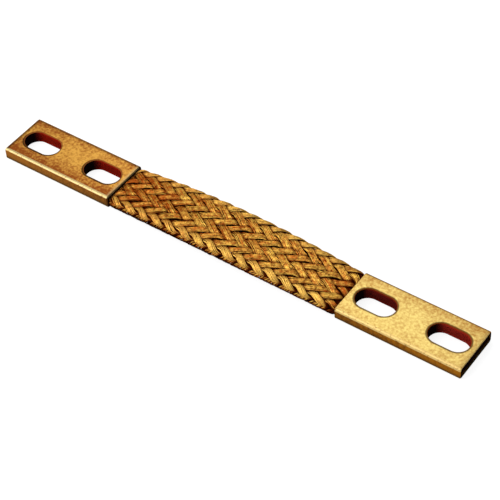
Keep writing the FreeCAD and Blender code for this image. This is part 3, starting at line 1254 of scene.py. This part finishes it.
@dataclass
class Studio:
    """Floor, lamps and surrounding light.

    The walls are bright and the ceiling is dim. From the photo's side the ferrules' flats show the dim
    ceiling with the softboxes in it, and from most other sides they show the walls.
    """

    paper: StudioPaper = field(default_factory=StudioPaper)
    floor_half: float = 12.0
    surround: str = "#6E6E6E"
    ceiling_way: tuple[float, float, float] = (0.0, 0.25, 1.0)
    ceiling_edge: tuple[float, float] = (0.8, 0.6)
    wall_gain: float = 4.0
    softboxes: tuple[Softbox, ...] = (
        Softbox(
            "back_softbox", bearing=121.0, elevation=49.0, distance=0.95, width=0.5, height=0.5,
            radiance=1.75, target_x=0.114,
        ),
        Softbox(
            "left_softbox", bearing=137.0, elevation=43.0, distance=0.95, width=0.45, height=0.5,
            radiance=0.86, target_x=-0.114,
        ),
        Softbox(
            "front_softbox", bearing=232.0, elevation=37.0, distance=0.9, width=0.8, height=0.9,
            radiance=2.35,
        ),
        Softbox(
            "top_softbox", bearing=160.0, elevation=78.0, distance=1.0, width=0.8, height=0.8,
            radiance=1.35,
        ),
    )

    def build(self) -> None:
        """Lay the floor, set up the lamps and light the surroundings."""
        half = self.floor_half
        mesh = bpy.data.meshes.new("floor")
        mesh.from_pydata(
            [(-half, -half, 0), (half, -half, 0), (half, half, 0), (-half, half, 0)], [], [(0, 1, 2, 3)]
        )
        mesh.materials.append(self.paper.material())
        floor = bpy.data.objects.new("floor", mesh)
        bpy.context.scene.collection.objects.link(floor)
        for softbox in self.softboxes:
            softbox.build()
        world = bpy.data.worlds.new("studio_walls")
        world.use_nodes = True
        world.node_tree.nodes.clear()
        tree = world.node_tree
        place = add_node(tree, "ShaderNodeTexCoord")
        height = add_node(
            tree, "ShaderNodeVectorMath", {"operation": "DOT_PRODUCT"}, {1: self.ceiling_way},
            {0: place.outputs["Generated"]},
        )
        gain = add_node(
            tree, "ShaderNodeMapRange", {"interpolation_type": "SMOOTHSTEP"},
            {
                "From Min": self.ceiling_edge[0], "From Max": self.ceiling_edge[1],
                "To Min": 1.0, "To Max": self.wall_gain,
            },
            {"Value": height.outputs["Value"]},
        )
        walls = add_node(
            tree, "ShaderNodeBackground", None, {"Color": linear(self.surround)},
            {"Strength": gain.outputs[0]},
        )
        add_node(tree, "ShaderNodeOutputWorld", links={"Surface": walls.outputs[0]})
        bpy.context.scene.world = world
        bpy.context.scene.view_settings.view_transform = "Standard"
        log.info("studio set up")


@dataclass(frozen=True)
class ViewCamera:
    """The camera of the photograph, found from the edges of the ferrules."""

    azimuth: float = 37.78
    elevation: float = 46.07
    roll: float = -3.53
    distance_mm: float = 919.0
    aim_mm: tuple[float, float, float] = (10.01, 1.1, 0.0)
    lens_mm: float = 120.58
    sensor_mm: float = 36.0

    def build(self) -> None:
        """Put the camera into the scene and make it the one that renders."""
        azimuth = math.radians(self.azimuth)
        elevation = math.radians(self.elevation)
        roll = math.radians(self.roll)
        back = Vector((
            math.sin(azimuth) * math.cos(elevation),
            -math.cos(azimuth) * math.cos(elevation),
            math.sin(elevation),
        ))
        level = Vector((math.cos(azimuth), math.sin(azimuth), 0.0))
        upright = back.cross(level)
        right = math.cos(roll) * level + math.sin(roll) * upright
        top = back.cross(right)
        lens = bpy.data.cameras.new("view_camera")
        lens.lens = self.lens_mm
        lens.sensor_width = self.sensor_mm
        camera = bpy.data.objects.new("view_camera", lens)
        turn = Matrix((right, top, back)).transposed().to_4x4()
        camera.matrix_world = Matrix.Translation((Vector(self.aim_mm) + back * self.distance_mm) * MM) @ turn
        bpy.context.scene.collection.objects.link(camera)
        bpy.context.scene.camera = camera
        log.info("camera set up")


def main() -> None:
    """Load the CAD model, dress it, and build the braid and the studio."""
    logging.basicConfig(level=logging.INFO, format="%(message)s")
    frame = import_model()
    for stray in [thing for thing in bpy.data.objects if thing.type in ("LIGHT", "CAMERA")]:
        bpy.data.objects.remove(stray)
    # One copper for both ferrules: the left finish is a painted shaded copy and the right a painted lit
    # copy, their rims and shades set apart by how the lamps fall on each.
    finishes = {
        End.LEFT: PressedCopperTube(
            "pressed_copper_tube_tarnished", "#D39D46", "#8C491B",
            start=0.2, across=-0.2, along=-0.06, edges=0.83, ends=0.3, speckle=2.2, lip=0.4,
            inner_shade=0.1, near_rim=0.9, far_rim=0.55, end_rim=0.65, mouth_rim=0.75,
            middle_mm=End.LEFT.middle_mm, punch_shift_mm=0.45, burr_mm=(8.2, 7.7), burr_most=0.9,
            rub_slope=(0.42, 0.62),
            slot_rim="#8E5226", worn="#C6B27C", side="#90561E", side_dull="#5E300E",
        ),
        End.RIGHT: PressedCopperTube(
            "pressed_copper_tube_bright", "#C9B268", "#A67637",
            start=0.23, across=0.16, along=0.03, edges=0.28, ends=0.12, speckle=2.0, lip=0.0,
            inner_shade=0.55, near_rim=0.0, far_rim=0.08, end_rim=0.2, mouth_rim=0.0,
            middle_mm=End.RIGHT.middle_mm, slot_wall="#A42A1C",
        ),
    }
    # The right pressed end is a painted copy of the left, lighter in colour and more shaded towards the
    # middle.
    cut_ends = {
        End.LEFT: CutWireEnds(),
        End.RIGHT: CutWireEnds(wire="#A82E22", gap="#4E130E", inner_shade=0.6),
    }
    for end in End:
        Ferrule(end, finishes[end]).dress(frame["nodes"])
        pressed_end = PressedEnd(end, cut_ends[end])
        pressed_end.dress(pressed_end.build())
    braid = Braid(DrawnCopperWire())
    braid.dress(braid.assemble())
    Studio().build()
    ViewCamera().build()


if __name__ == "__main__":
    main()
